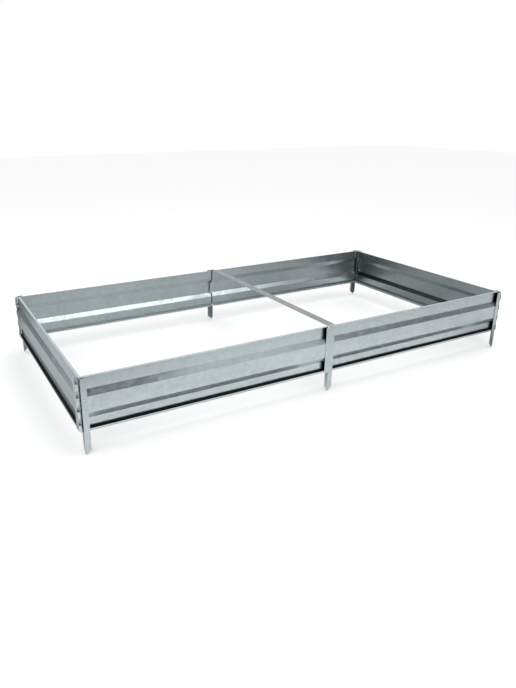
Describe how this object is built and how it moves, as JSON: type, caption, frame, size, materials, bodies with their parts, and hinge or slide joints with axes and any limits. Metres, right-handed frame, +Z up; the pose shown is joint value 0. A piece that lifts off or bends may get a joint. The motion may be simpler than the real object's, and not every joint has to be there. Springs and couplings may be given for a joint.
{
  "type": "raised garden bed",
  "caption": "Low rectangular raised garden bed of ribbed galvanised sheet walls on pointed stakes, with a flat tie across the middle.",
  "frame": {"origin": "middle of the bed in plan, at the level of the stakes' points", "axes": "+X along the long walls, +Y from the front wall to the back wall, +Z up"},
  "size_m": [2.0248, 1.0256, 0.2774],
  "materials": {
    "wall_sheet": "galvanised, faint spangle",
    "stake_sheet": "galvanised, cut edges",
    "fitting_sheet": "galvanised, pressed",
    "rivet_metal": "satin",
    "zinc_fastener": "zinc plated"
  },
  "bodies": {
    "root": {"back_joint_bracket": "fitting_sheet", "back_left_corner_stake": "stake_sheet", "back_left_joint_rivets": "rivet_metal", "back_left_loop_strip": "fitting_sheet", "back_left_stake_rivets": "rivet_metal", "back_left_wall": "wall_sheet", "back_middle_stake": "stake_sheet", "back_right_corner_stake": "stake_sheet", "back_right_joint_rivets": "rivet_metal", "back_right_loop_strip": "fitting_sheet", "back_right_stake_rivets": "rivet_metal", "back_right_wall": "wall_sheet", "back_tie_nut": "zinc_fastener", "back_tie_screw": "zinc_fastener", "cross_tie": "fitting_sheet", "front_joint_bracket": "fitting_sheet", "front_left_corner_stake": "stake_sheet", "front_left_joint_rivets": "rivet_metal", "front_left_loop_strip": "fitting_sheet", "front_left_stake_rivets": "rivet_metal", "front_left_wall": "wall_sheet", "front_middle_stake": "stake_sheet", "front_right_corner_stake": "stake_sheet", "front_right_joint_rivets": "rivet_metal", "front_right_loop_strip": "fitting_sheet", "front_right_stake_rivets": "rivet_metal", "front_right_wall": "wall_sheet", "front_tie_nut": "zinc_fastener", "front_tie_screw": "zinc_fastener", "left_back_strip_rivets": "rivet_metal", "left_end_wall": "wall_sheet", "left_front_strip_rivets": "rivet_metal", "right_back_strip_rivets": "rivet_metal", "right_end_wall": "wall_sheet", "right_front_strip_rivets": "rivet_metal"}
  },
  "joints": []
}
